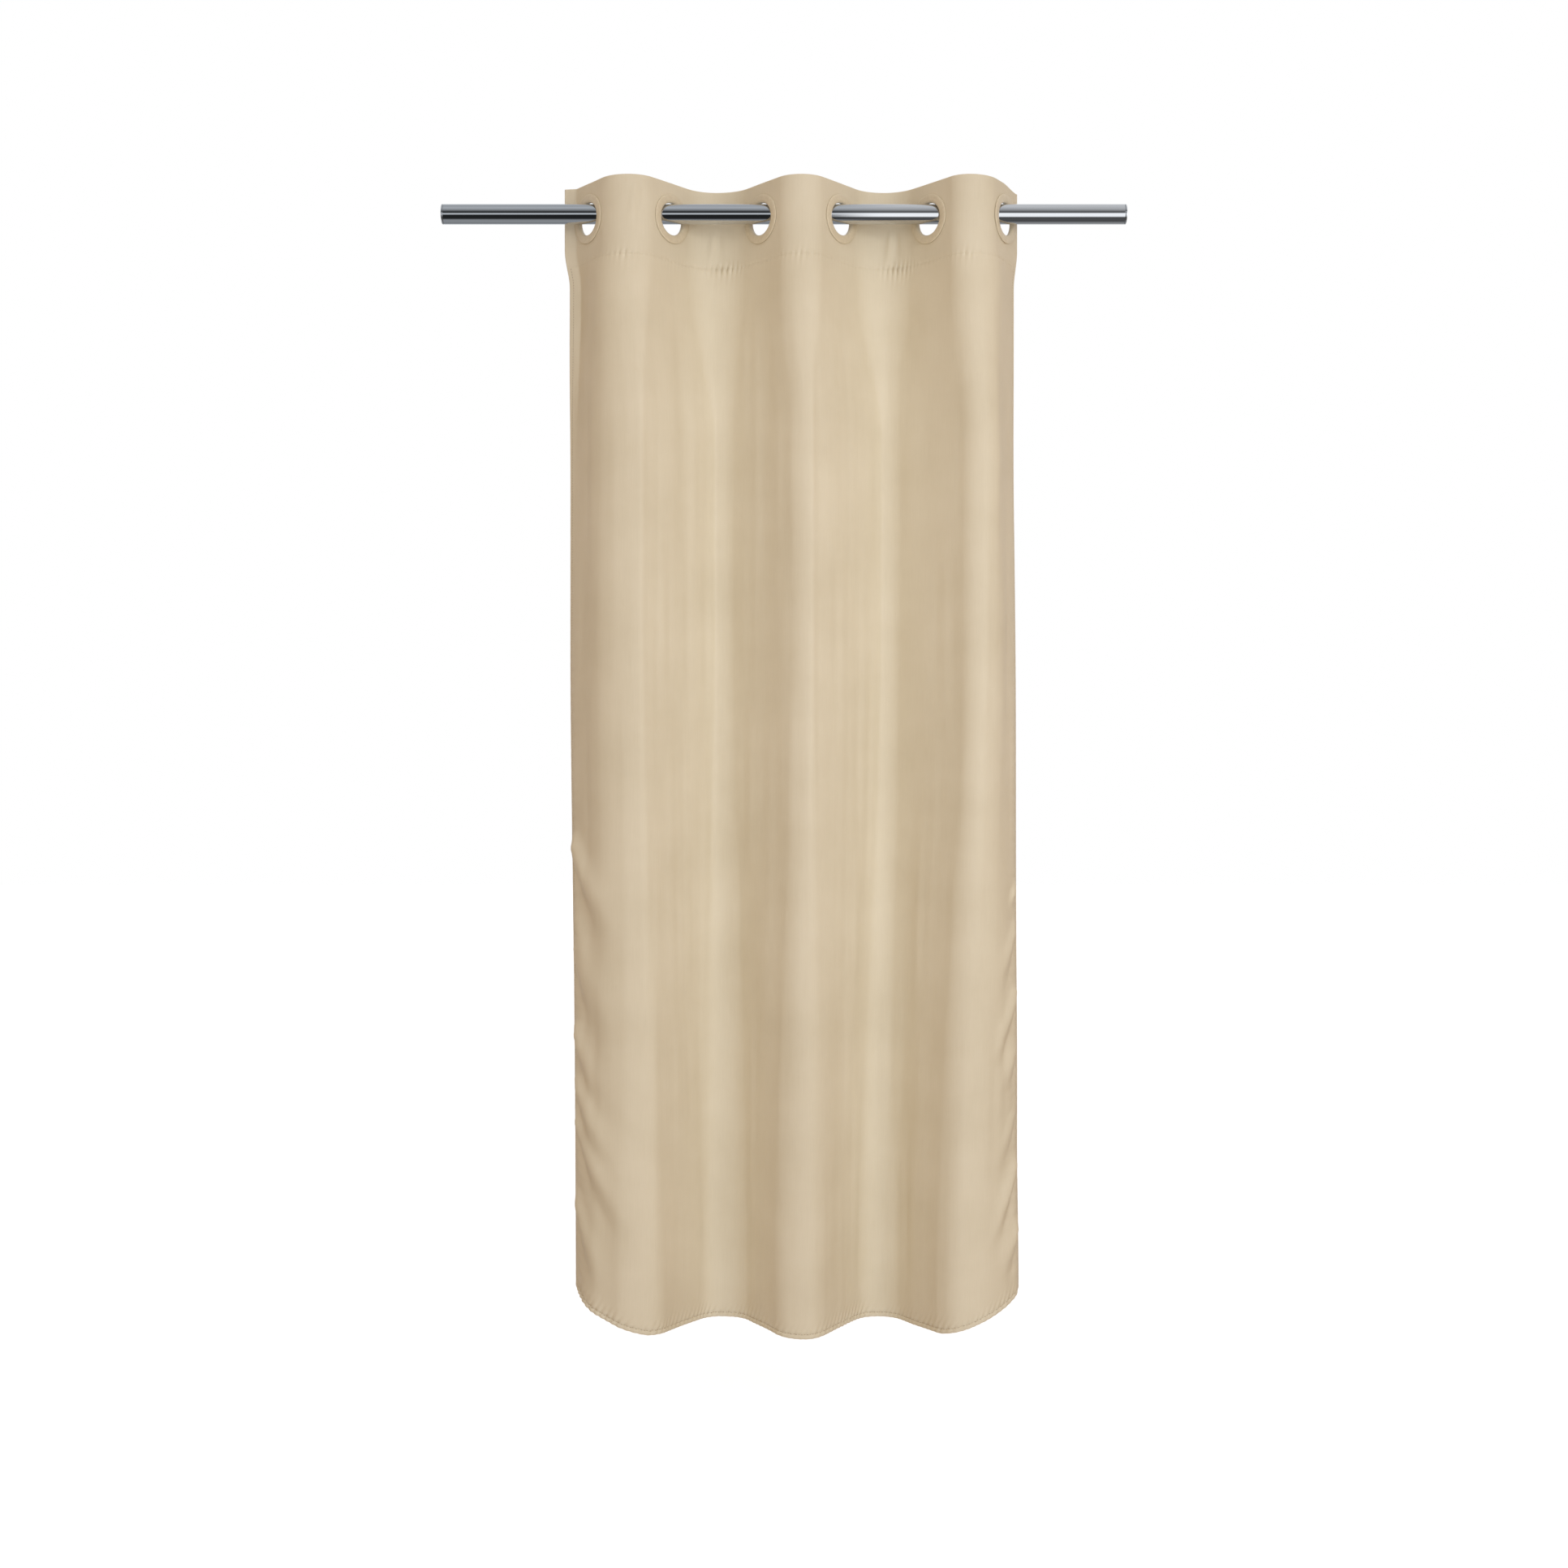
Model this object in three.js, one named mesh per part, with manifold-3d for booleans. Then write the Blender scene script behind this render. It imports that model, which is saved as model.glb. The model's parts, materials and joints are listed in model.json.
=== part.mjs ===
// One eyelet-top window curtain hanging on a round metal rod.
// Millimetres. +X runs along the rod, +Y away from the room, +Z up. The origin is on the
// rod's axis, at the middle of its length. The cloth is one sheet that zigzags past the rod,
// modelled as six panels that fold against each other along its crests and troughs.
import * as THREE from 'three';
import { mergeVertices } from 'three/addons/utils/BufferGeometryUtils.js';
import Module from 'manifold-3d';

// Driving dimensions.
const ROD_LENGTH = 872;
const ROD_RADIUS = 12.5;
const ROD_WALL = 1.2;
const CAP_THICKNESS = 2;
const CAP_CHAMFER = 0.5;
const PLUG_LENGTH = 16;
const PLUG_TAPER = 0.8;
const PLUG_TAPER_LENGTH = 1.5;
const TOP_ABOVE_AXIS = 39;
const DROP = 1456;
const HEADING_DEPTH = 99;
const HEM_DEPTH = 10;
const FOLD_DEPTH = 40;
const LEFT_MARGIN = 50;
const RIGHT_MARGIN = 35;
const EYELET_DROP = 6.4;
const EYELET_HOLE_RADIUS = 20;
const EYELET_OUTER_RADIUS = 31;

// Each eyelet's place along the rod, and the angle between its ring and the rod in plan.
// The spacing is uneven because the curtain was drawn by hand.
const EYELETS = [
  { x: -248.4, angle: 52 },
  { x: -144, angle: 50 },
  { x: -28.5, angle: 50 },
  { x: 72, angle: 50 },
  { x: 185.5, angle: 50 },
  { x: 281, angle: 58 },
];

// Thicknesses of the layers, measured across the cloth from the heading's middle.
const CLOTH = 0.8;
const STIFFENER = 0.6;
const LAYER_GAP = 0.3;
const HALF_HEADING = STIFFENER / 2 + LAYER_GAP + CLOTH;
const HEM_BACK = -1.0;
const TOUCH_GAP = 0.3;
const FOLD_GAP = 1.2;
const CLOTH_HOLE_RADIUS = 23.2;
const CUTTER_LENGTH = 20;

// Smoothness.
const RING_SIDES = 24;
const ROD_SIDES = 32;
const ARC_STEP = 10;
const STEPS_PER_MM = 1000;
const WELD_DISTANCE = 1e-5;

const TOP = TOP_ABOVE_AXIS;
const BOTTOM = TOP - DROP;

const radians = THREE.MathUtils.degToRad;
const manifold = await Module();
manifold.setup();

const material = (color, roughness, metalness = 0) =>
  new THREE.MeshStandardMaterial({ color, roughness, metalness });
const steelMaterial = material(0xc9cacb, 0.12, 1);
const capMaterial = material(0xbfc0c1, 0.2, 1);
const clothMaterial = material(0xd3c3a6, 0.7);
const stiffenerMaterial = material(0xefece4, 0.9);
const eyeletMaterial = material(0xcdb893, 0.4);

// Boolean helpers: a three.js geometry to a solid and back.
function toSolid(geometry) {
  const bare = geometry.clone();
  bare.deleteAttribute('normal');
  bare.deleteAttribute('uv');
  const merged = mergeVertices(bare, WELD_DISTANCE);
  return new manifold.Manifold(new manifold.Mesh({
    numProp: 3,
    vertProperties: new Float32Array(merged.attributes.position.array),
    triVerts: new Uint32Array(merged.index.array),
  }));
}

function toGeometry(solid) {
  const mesh = solid.getMesh();
  const geometry = new THREE.BufferGeometry();
  geometry.setAttribute('position', new THREE.BufferAttribute(mesh.vertProperties, 3));
  geometry.setIndex(new THREE.BufferAttribute(mesh.triVerts, 1));
  geometry.computeVertexNormals();
  return geometry;
}

function named(name, geometry, meshMaterial) {
  const mesh = new THREE.Mesh(geometry, meshMaterial);
  mesh.name = name;
  return mesh;
}

// A lathe profile given as [radius, height] pairs, turned about +Y and closed on itself.
function turned(profile, sides) {
  const closed = [...profile, profile[0]].map(([r, h]) => new THREE.Vector2(r, h));
  return new THREE.LatheGeometry(closed, sides);
}

// Rod: a thin-walled steel tube along X, with a push-in plug in each end.
function rodTube() {
  const half = ROD_LENGTH / 2 - CAP_THICKNESS - TOUCH_GAP;
  const inner = ROD_RADIUS - ROD_WALL;
  const geometry = turned(
    [[inner, -half], [ROD_RADIUS, -half], [ROD_RADIUS, half], [inner, half]],
    ROD_SIDES,
  );
  geometry.rotateZ(-Math.PI / 2);
  return named('rod_tube', geometry, steelMaterial);
}

function endCap(name, side) {
  const outside = ROD_LENGTH / 2;
  const plugRadius = ROD_RADIUS - ROD_WALL - TOUCH_GAP;
  const shoulder = outside - CAP_THICKNESS;
  const profile = [
    [0, shoulder - PLUG_LENGTH],
    [plugRadius - PLUG_TAPER, shoulder - PLUG_LENGTH],
    [plugRadius, shoulder - PLUG_LENGTH + PLUG_TAPER_LENGTH],
    [plugRadius, shoulder],
    [ROD_RADIUS, shoulder],
    [ROD_RADIUS, outside - CAP_CHAMFER],
    [ROD_RADIUS - CAP_CHAMFER, outside],
    [0, outside],
  ].map(([r, h]) => new THREE.Vector2(r, h));
  const geometry = new THREE.LatheGeometry(profile, ROD_SIDES);
  geometry.rotateZ(-Math.PI / 2 * side);
  return named(name, geometry, capMaterial);
}

// Plan of the cloth from an eyelet to its next fold: straight under the ring, then an arc that
// ends along the rod's direction. reach is how far the fold is along the rod. The arc stops
// FOLD_GAP short, where the next panel begins. Points are [along, outwards] from the eyelet.
function planToFold(reach, angle) {
  const turn = radians(angle);
  const straight = FOLD_DEPTH / Math.tan(turn / 2) - reach;
  const bend = (Math.sin(turn) * reach - Math.cos(turn) * FOLD_DEPTH) / (1 - Math.cos(turn));
  const points = [[straight * Math.cos(turn), straight * Math.sin(turn)]];
  const steps = Math.ceil(angle / ARC_STEP);
  const last = turn - FOLD_GAP / bend;
  for (let i = 1; i <= steps; i += 1) {
    const turnedBy = last * i / steps;
    const heading = turn - turnedBy;
    points.push([
      points[0][0] + bend * (Math.sin(turn) - Math.sin(heading)),
      points[0][1] + bend * (Math.cos(heading) - Math.cos(turn)),
    ]);
  }
  return points;
}

// Plan of the cloth from an end eyelet to the curtain's free side edge, with the hem's inner
// line on the way.
function planToEdge(margin, angle) {
  const turn = radians(angle);
  return [margin - HEM_DEPTH, margin].map(
    (reach) => [reach * Math.cos(turn), reach * Math.sin(turn)],
  );
}

// The whole plan of one panel, relative to its eyelet, from left to right.
// Odd panels come forward to the right, and even panels go back to the right.
function panelPlan(index) {
  const { x, angle } = EYELETS[index];
  const before = EYELETS[index - 1];
  const after = EYELETS[index + 1];
  const outwards = index % 2 === 0 ? -1 : 1;
  const left = before ? planToFold((x - before.x) / 2, angle) : planToEdge(LEFT_MARGIN, angle);
  const right = after ? planToFold((after.x - x) / 2, angle) : planToEdge(RIGHT_MARGIN, angle);
  return [
    ...left.reverse().map(([along, out]) => new THREE.Vector2(-along, -outwards * out)),
    ...right.map(([along, out]) => new THREE.Vector2(along, outwards * out)),
  ];
}

// The plan's polyline moved sideways, so that a positive distance is towards the room.
// Places are rounded to a micrometre, so that layers that share a line meet exactly.
function offsetPlan(plan, distance) {
  return plan.map((point, i) => {
    const before = plan[Math.max(i - 1, 0)];
    const after = plan[Math.min(i + 1, plan.length - 1)];
    const first = point.clone().sub(before).normalize();
    const second = after.clone().sub(point).normalize();
    const tangent = first.add(second).normalize();
    const moved = new THREE.Vector2(tangent.y, -tangent.x).multiplyScalar(distance).add(point);
    return moved.multiplyScalar(STEPS_PER_MM).round().divideScalar(STEPS_PER_MM);
  });
}

// A layer of cloth: the band between two distances from the plan, between two heights.
function layer(plan, inner, outer, low, high) {
  const outline = [...offsetPlan(plan, outer), ...offsetPlan(plan, inner).reverse()];
  const geometry = new THREE.ExtrudeGeometry(new THREE.Shape(outline), {
    depth: high - low,
    bevelEnabled: false,
  });
  geometry.translate(0, 0, low);
  return toSolid(geometry);
}

// A round cutter through the heading, square to the cloth at the eyelet.
function eyeletCutter(tilt) {
  const radius = CLOTH_HOLE_RADIUS;
  const cutter = new THREE.CylinderGeometry(radius, radius, CUTTER_LENGTH, RING_SIDES);
  cutter.rotateZ(tilt);
  cutter.translate(0, 0, -EYELET_DROP);
  return toSolid(cutter);
}

// Cloth of one panel: the face, the heading turned down over the stiffener, and the hems.
function panelCloth(index, plan, cutter) {
  const backOfHeading = TOP - HEADING_DEPTH;
  let solid = layer(plan, HALF_HEADING - CLOTH, HALF_HEADING, BOTTOM, TOP)
    .add(layer(plan, -HALF_HEADING, CLOTH - HALF_HEADING, backOfHeading, TOP))
    .add(layer(plan, -HALF_HEADING, HALF_HEADING, TOP - CLOTH, TOP))
    .add(layer(plan, -HALF_HEADING, HALF_HEADING, backOfHeading, backOfHeading + CLOTH))
    .add(layer(plan, HEM_BACK, HALF_HEADING, BOTTOM, BOTTOM + HEM_DEPTH));
  if (index === 0) {
    solid = solid.add(layer(plan.slice(0, 2), -HALF_HEADING, HALF_HEADING, BOTTOM, TOP));
  }
  if (index === EYELETS.length - 1) {
    solid = solid.add(layer(plan.slice(-2), -HALF_HEADING, HALF_HEADING, BOTTOM, TOP));
  }
  return named(`panel_${index + 1}_cloth`, toGeometry(solid.subtract(cutter)), clothMaterial);
}

// Stiffener of one panel: the buckram strip inside the heading.
function panelStiffener(index, plan, cutter) {
  const atLeft = index === 0;
  const atRight = index === EYELETS.length - 1;
  const own = plan.slice(atLeft ? 1 : 0, atRight ? -1 : plan.length).map((point) => point.clone());
  if (atLeft) own[0].setLength(LEFT_MARGIN - HEM_DEPTH - TOUCH_GAP);
  if (atRight) own.at(-1).setLength(RIGHT_MARGIN - HEM_DEPTH - TOUCH_GAP);
  const low = TOP - HEADING_DEPTH + CLOTH + TOUCH_GAP;
  const high = TOP - CLOTH - TOUCH_GAP;
  const solid = layer(own, -STIFFENER / 2, STIFFENER / 2, low, high).subtract(cutter);
  return named(`panel_${index + 1}_stiffener`, toGeometry(solid), stiffenerMaterial);
}

// Eyelet: a snap-together pair of rings. The front one has the collar that lines the hole.
// Profiles are [radius, distance from the heading's middle], turned about the ring's axis, and
// the widths that follow are measured out from the hole.
const FLANGE_FLOOR = HALF_HEADING + 0.5;
const FLANGE_LIP = 0.4;
const COLLAR_RADIUS = 22.4;
const COLLAR_CLEARANCE = 0.4;
const SPLIT_LEVEL = -1.7;
const FRONT_DOME = 4.1;
const BACK_DOME = 3.4;

function frontRing(name) {
  const profile = [
    [EYELET_HOLE_RADIUS + 0.4, SPLIT_LEVEL],
    [EYELET_HOLE_RADIUS, 0],
    [EYELET_HOLE_RADIUS + 0.3, FRONT_DOME - 2.8],
    [EYELET_HOLE_RADIUS + 1.4, FRONT_DOME - 1.4],
    [EYELET_HOLE_RADIUS + 3.8, FRONT_DOME - 0.1],
    [EYELET_HOLE_RADIUS + 7.2, FRONT_DOME],
    [EYELET_OUTER_RADIUS - 0.6, FRONT_DOME - 1],
    [EYELET_OUTER_RADIUS, FLANGE_FLOOR + FLANGE_LIP],
    [COLLAR_RADIUS, FLANGE_FLOOR],
    [COLLAR_RADIUS, SPLIT_LEVEL],
  ].reverse();
  return named(name, turned(profile, RING_SIDES), eyeletMaterial);
}

function backRing(name) {
  const profile = [
    [EYELET_HOLE_RADIUS + 0.5, SPLIT_LEVEL - TOUCH_GAP],
    [COLLAR_RADIUS + COLLAR_CLEARANCE, SPLIT_LEVEL - TOUCH_GAP],
    [COLLAR_RADIUS + COLLAR_CLEARANCE, -FLANGE_FLOOR],
    [EYELET_OUTER_RADIUS, -FLANGE_FLOOR - FLANGE_LIP],
    [EYELET_OUTER_RADIUS - 0.6, 0.5 - BACK_DOME],
    [EYELET_OUTER_RADIUS - 4, -BACK_DOME],
    [EYELET_HOLE_RADIUS + 3, 0.1 - BACK_DOME],
    [EYELET_HOLE_RADIUS + 1.2, 0.7 - BACK_DOME],
  ].reverse();
  return named(name, turned(profile, RING_SIDES), eyeletMaterial);
}

// One panel at its eyelet: its cloth and stiffener, and the ring pair turned to face it.
function panel(index) {
  const { x, angle } = EYELETS[index];
  const tilt = radians(index % 2 === 0 ? -angle : angle);
  const plan = panelPlan(index);
  const cutter = eyeletCutter(tilt);
  const rings = new THREE.Group();
  rings.position.z = -EYELET_DROP;
  rings.rotation.z = tilt;
  const facing = new THREE.Group();
  facing.rotation.z = Math.PI;
  facing.add(frontRing(`eyelet_${index + 1}_front_ring`));
  facing.add(backRing(`eyelet_${index + 1}_back_ring`));
  rings.add(facing);
  const group = new THREE.Group();
  group.position.x = x;
  group.add(panelCloth(index, plan, cutter));
  group.add(panelStiffener(index, plan, cutter));
  group.add(rings);
  return group;
}

const curtain = new THREE.Group();
curtain.add(rodTube());
curtain.add(endCap('end_cap_left', -1));
curtain.add(endCap('end_cap_right', 1));
EYELETS.forEach((eyelet, index) => curtain.add(panel(index)));

export default curtain;
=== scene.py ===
"""Looks for one eyelet curtain on a round steel rod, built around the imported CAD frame.

Metres, +X along the rod, +Y away from the room, +Z up, with the origin on the rod's axis.
The cloth is one sheet, described by two flat coordinates: u across it and v down it.
"""

import json
import math

import bpy
import numpy as np
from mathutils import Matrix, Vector


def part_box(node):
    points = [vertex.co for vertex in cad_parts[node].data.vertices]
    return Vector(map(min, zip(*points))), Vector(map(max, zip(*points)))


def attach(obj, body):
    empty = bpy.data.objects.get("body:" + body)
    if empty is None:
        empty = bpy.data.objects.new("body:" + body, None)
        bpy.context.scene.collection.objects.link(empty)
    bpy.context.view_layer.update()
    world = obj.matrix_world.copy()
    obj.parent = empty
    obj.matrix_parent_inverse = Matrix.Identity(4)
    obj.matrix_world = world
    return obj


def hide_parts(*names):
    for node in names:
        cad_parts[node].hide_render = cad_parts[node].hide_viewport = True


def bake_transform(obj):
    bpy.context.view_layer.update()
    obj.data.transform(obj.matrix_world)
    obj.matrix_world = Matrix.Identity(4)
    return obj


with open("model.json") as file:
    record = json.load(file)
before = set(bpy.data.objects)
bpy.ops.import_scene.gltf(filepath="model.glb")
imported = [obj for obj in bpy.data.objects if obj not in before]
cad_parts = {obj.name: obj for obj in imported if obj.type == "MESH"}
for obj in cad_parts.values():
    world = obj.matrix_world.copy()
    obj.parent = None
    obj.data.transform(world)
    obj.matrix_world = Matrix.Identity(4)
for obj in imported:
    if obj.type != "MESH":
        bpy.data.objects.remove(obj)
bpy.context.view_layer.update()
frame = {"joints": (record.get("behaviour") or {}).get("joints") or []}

MM = 0.001

# Cloth: sizes shared with the CAD model.
HEADING_DEPTH = 99 * MM
HEM = 10 * MM
RING_ANGLES = [math.radians(a) for a in (52, 50, 50, 50, 50, 58)]

# Cloth: this model's own sizes. The left margin is 5 mm narrower than the CAD model's. LAYER is
# how far the face and the turned-down heading lie from the surface midway between them, and
# TURN_GAP is the step from the face back to a turned hem.
LAYER = 1.0 * MM
EDGE_MARGINS = (45 * MM, 35 * MM)
HOLE_CUT = 25 * MM
CLOTH_THICKNESS = 0.6 * MM
TURN_GAP = 0.85 * MM

# Sewing. A stitch lies on the face of the cloth, and a hem's line is HEM_STITCH from its edge.
HEM_STITCH = 5 * MM
STITCH_PITCH = 3.4 * MM
STITCH_LENGTH = 2.6 * MM
STITCH_HALF_WIDTH = 0.28 * MM
STITCH_HALF_HEIGHT = 0.2 * MM
STITCH_CROWN = 0.32
STITCH_LIFT = LAYER + CLOTH_THICKNESS / 2
SEAM_GATHER_PITCH = 6.6 * MM
HEM_GATHER_PITCH = 8 * MM
SIDE_GATHER_PITCH = 15 * MM

# Rod, end caps and rings. A cap's outline starts CAP_CENTRE from the axis, and its points nearer
# than CAP_NEAR_AXIS are then drawn in to CAP_PINHOLE. The rings hold the cloth flat out to
# RING_RADIUS, less and less out to RING_HOLD.
TUBE_WALL = 1.2 * MM
TUBE_ROUNDING = 0.25 * MM
TUBE_SIDES = 128
CAP_THICKNESS = 2 * MM
CAP_ROUNDING = 0.5 * MM
CAP_CENTRE = 0.2 * MM
CAP_NEAR_AXIS = 0.3 * MM
CAP_PINHOLE = 0.02 * MM
CAP_SIDES = 96
PLUG_GAP = 0.3 * MM
RING_RADIUS = 31 * MM
RING_HOLD = 46 * MM
RING_SIDES = 96

# How the folds change on the way down.
MIDDLE_ANGLE = math.radians(41.5)
BOTTOM_ANGLE = math.radians(56)
BOTTOM_DEPTH = 45 * MM
MIDDLE_SHIFTS = [13 * MM, 1 * MM, 10 * MM, 1 * MM, 11 * MM]
BOTTOM_SHIFTS = [16 * MM, 5 * MM, 2 * MM, -7 * MM, -13 * MM]
END_ANGLES = (math.radians(60), math.radians(68))
FLARE_ANGLES = (math.radians(66), math.radians(66))
LOWER_FLARE_ANGLES = (math.radians(53), math.radians(66))
LIP_ANGLES = (math.radians(8), math.radians(40))
LIP_WIDTHS = (15.5 * MM, 2 * MM)
RIGHT_CORNER_DROP = 5 * MM
RIGHT_EDGE_PULL = 8.5 * MM
EDGE_TURNS = (math.radians(75), math.radians(70))
CORNER_LIFT = 46 * MM
CORNER_WIDTH = 125 * MM
MIDDLE_CREST_DROP = 5 * MM

# Creases in the heading: the number of the fold, how far right of it and how far down the crease
# starts, and its height.
HEADING_CREASES = [
    (0, 8 * MM, 12 * MM, 1.2 * MM),
    (1, -6 * MM, 52 * MM, 2.2 * MM),
    (3, 9 * MM, 52 * MM, 2.2 * MM),
]

# Colours.
CLOTH_DARK = (0.71, 0.635, 0.475)
CLOTH_LIGHT = (0.79, 0.715, 0.555)
THREAD_DARK = (0.34, 0.26, 0.16)
THREAD_LIGHT = (0.46, 0.36, 0.24)
PLASTIC_DARK = (0.67, 0.585, 0.42)
PLASTIC_LIGHT = (0.73, 0.64, 0.47)
STEEL_DARK = (0.52, 0.53, 0.55)
STEEL_LIGHT = (0.68, 0.69, 0.71)
AMBIENT = (1.03, 1.01, 1.02)
FLAG = (0.36, 0.22, 0.10)

# Studio. The two ranges are of the world direction's X: where the strip and the flags fade in.
STRIP_RANGE = (0.02, 0.09)
FLAG_RANGE = (0.2, 0.72)
FLOOR_HALF_SIZE = 14.0
FLOOR_DROP = 0.16
FLOOR_GREY = 0.5
FLOOR_GLOW = 0.72
CAMERA_DISTANCE = 2.5
CAMERA_HEIGHT = -0.7266
CAMERA_LENS = 45
CAMERA_SENSOR = 36

# Fineness of the cloth's grid.
FOLD_COLUMNS = 46
MARGIN_COLUMNS = 22

# Bodies, joints and places, from the frame.
joints = {joint["name"]: joint for joint in frame["joints"]}
fold_joints = [joints[f"fold_{k}"] for k in range(1, len(RING_ANGLES))]
FOLD_X = [joint["pos_m"][0] for joint in fold_joints]
FOLD_DEPTH = abs(fold_joints[0]["pos_m"][1])
EYELET_X = [joints["gather"]["pos_m"][0]]
for fold_x in FOLD_X:
    EYELET_X.append(2 * fold_x - EYELET_X[-1])
BOTTOM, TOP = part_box("panel_1_cloth")[0].z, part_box("panel_1_cloth")[1].z
DROP = TOP - BOTTOM
EYELET_Z = (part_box("eyelet_1_front_ring")[0].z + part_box("eyelet_1_front_ring")[1].z) / 2
EYELET_V = TOP - EYELET_Z


def smooth(value, low, high):
    """0 below low, 1 above high, and a smooth step between."""
    t = np.clip((value - low) / (high - low), 0, 1)
    return t * t * (3 - 2 * t)


def noise(u, v, step_u, step_v, seed):
    """Smooth noise from -1 to 1 that changes over step_u across the cloth and step_v down it."""
    size = 64
    table = np.random.default_rng(seed).uniform(-1, 1, (size, size))
    a, b = u / step_u, v / step_v
    i, j = np.floor(a).astype(int), np.floor(b).astype(int)
    fa, fb = a - i, b - j
    fa, fb = fa * fa * (3 - 2 * fa), fb * fb * (3 - 2 * fb)
    near = table[i % size, j % size] * (1 - fa) + table[(i + 1) % size, j % size] * fa
    far = table[i % size, (j + 1) % size] * (1 - fa) + table[(i + 1) % size, (j + 1) % size] * fa
    return near * (1 - fb) + far * fb


def noise_along(place, step, seed):
    """Smooth noise from -1 to 1 that changes over step in one direction only."""
    return noise(place, place * 0, step, 1, seed)


# ---------------------------------------------------------------- plan of the folds


def half_wave(reach, depth, angle):
    """Plan points from an eyelet's line to the next fold, as [along, outwards]: straight,
    then an arc that ends along the rod. The points are equally spaced along the cloth."""
    straight = depth / math.tan(angle / 2) - reach
    radius = (math.sin(angle) * reach - math.cos(angle) * depth) / (1 - math.cos(angle))
    along = np.linspace(0, straight + radius * angle, FOLD_COLUMNS + 1)
    flat = np.minimum(along, straight)
    heading = angle - np.maximum(along - straight, 0) / radius
    x = flat * math.cos(angle) + radius * (math.sin(angle) - np.sin(heading))
    y = flat * math.sin(angle) + radius * (np.cos(heading) - math.cos(angle))
    return np.stack([x, y], 1), straight + radius * angle


def margin_plan(side, back, lip_share):
    """The margin beyond the end eyelet, seen as if it were the left one, from its edge in: it
    slants back past the rod, and a lip along its edge turns to the room again."""
    width = EDGE_MARGINS[side]
    middles = (np.arange(MARGIN_COLUMNS) + 0.5) * width / MARGIN_COLUMNS
    bend = width - LIP_WIDTHS[side]
    lip = lip_share * smooth(middles, bend - 3 * MM, bend + 3 * MM)
    turn = back * (1 - lip) + LIP_ANGLES[side] * lip
    steps = np.stack([-np.cos(turn), np.sin(turn)], 1) * width / MARGIN_COLUMNS
    return np.cumsum(steps, axis=0)[::-1]


def end_strip(fold, eyelet, depth, angle, margin, curl, side):
    """Plan points from the side edge to the outermost fold, seen as if it were the left one.
    With curl 0 the margin slants back past the rod, and with curl 1 the strip bends further
    and further back from the fold to the edge."""
    reach = fold - eyelet
    wave, length = half_wave(reach, depth, angle)
    flared = np.concatenate([margin, wave * [1, -1]]) + [eyelet, 0]
    steps = np.concatenate([
        np.full(MARGIN_COLUMNS, EDGE_MARGINS[side] / MARGIN_COLUMNS),
        np.full(FOLD_COLUMNS, length / FOLD_COLUMNS),
    ])
    from_fold = np.cumsum(steps[::-1])
    turn = EDGE_TURNS[side] * from_fold / from_fold[-1]
    curled_x = fold - np.cumsum(steps[::-1] * np.cos(turn))
    curled_y = -depth + np.cumsum(steps[::-1] * np.sin(turn))
    curled = np.stack([curled_x, curled_y], 1)[::-1]
    curled = np.concatenate([curled, [[fold, -depth]]])
    return flared * (1 - curl) + curled * curl


def plan_row(h):
    """The cloth's plan at height share h, from 0 at the heading seam to 1 at the bottom edge,
    and below 0 in the heading. Settle takes the folds from the rings' angles to the hanging
    ones, drift from there to the bottom edge's. Quick and calm turn the margins below the end
    rings, pull draws the right edge in, and curl bends both edges back."""
    drift = smooth(h, 0.35, 1.0)
    settle = smooth(h, 0.0, 0.16)
    depth = FOLD_DEPTH * (1 - drift) + BOTTOM_DEPTH * drift
    shifts = [
        middle * settle * (1 - drift) + bottom * drift
        for middle, bottom in zip(MIDDLE_SHIFTS, BOTTOM_SHIFTS)
    ]
    folds = [x + shift for x, shift in zip(FOLD_X, shifts)]
    body_angle = MIDDLE_ANGLE * (1 - drift) + BOTTOM_ANGLE * drift
    angles = [a * (1 - settle) + body_angle * settle for a in RING_ANGLES]
    quick = smooth(h, -0.015, 0.02)
    calm = smooth(h, 0.03, 0.22)
    margins = []
    for end, side in ((0, 0), (-1, 1)):
        flare = FLARE_ANGLES[side] * (1 - calm) + LOWER_FLARE_ANGLES[side] * calm
        back = RING_ANGLES[end] * (1 - quick) + flare * quick
        margins.append(margin_plan(side, back, 1 - calm))
        angles[end] = RING_ANGLES[end] * (1 - quick) + END_ANGLES[side] * quick
    lines = [EYELET_X[0] + BOTTOM_SHIFTS[0] * drift]
    for k in range(1, len(EYELET_X) - 1):
        lines.append(EYELET_X[k] * (1 - settle) + (folds[k - 1] + folds[k]) / 2 * settle)
    pull = smooth(h, 0.25, 0.68) * (1 - 0.6 * smooth(h, 0.85, 1.0))
    lines.append(EYELET_X[-1] + BOTTOM_SHIFTS[-1] * drift - RIGHT_EDGE_PULL * pull)
    curl = smooth(h, 0.15, 0.95)
    parts = [end_strip(folds[0], lines[0], depth, angles[0], margins[0], curl, 0)]
    for k in range(1, len(lines) - 1):
        outwards = -1 if k % 2 == 0 else 1
        left = half_wave(lines[k] - folds[k - 1], depth, angles[k])[0][::-1]
        right = half_wave(folds[k] - lines[k], depth, angles[k])[0]
        parts.append(left[1:] * [-1, -outwards] + [lines[k], 0])
        parts.append(right[1:] * [1, outwards] + [lines[k], 0])
    last = end_strip(-folds[-1], -lines[-1], depth, angles[-1], margins[1], curl, 1)
    parts.append(last[::-1][1:] * [-1, 1])
    return np.concatenate(parts)


# ---------------------------------------------------------------- the sheet's grid


def flat_columns():
    """How far each column of the plan is from the left edge along the flat cloth."""
    row = plan_row(-HEADING_DEPTH / (DROP - HEADING_DEPTH))
    return np.concatenate([[0], np.cumsum(np.linalg.norm(np.diff(row, axis=0), axis=1))])


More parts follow.
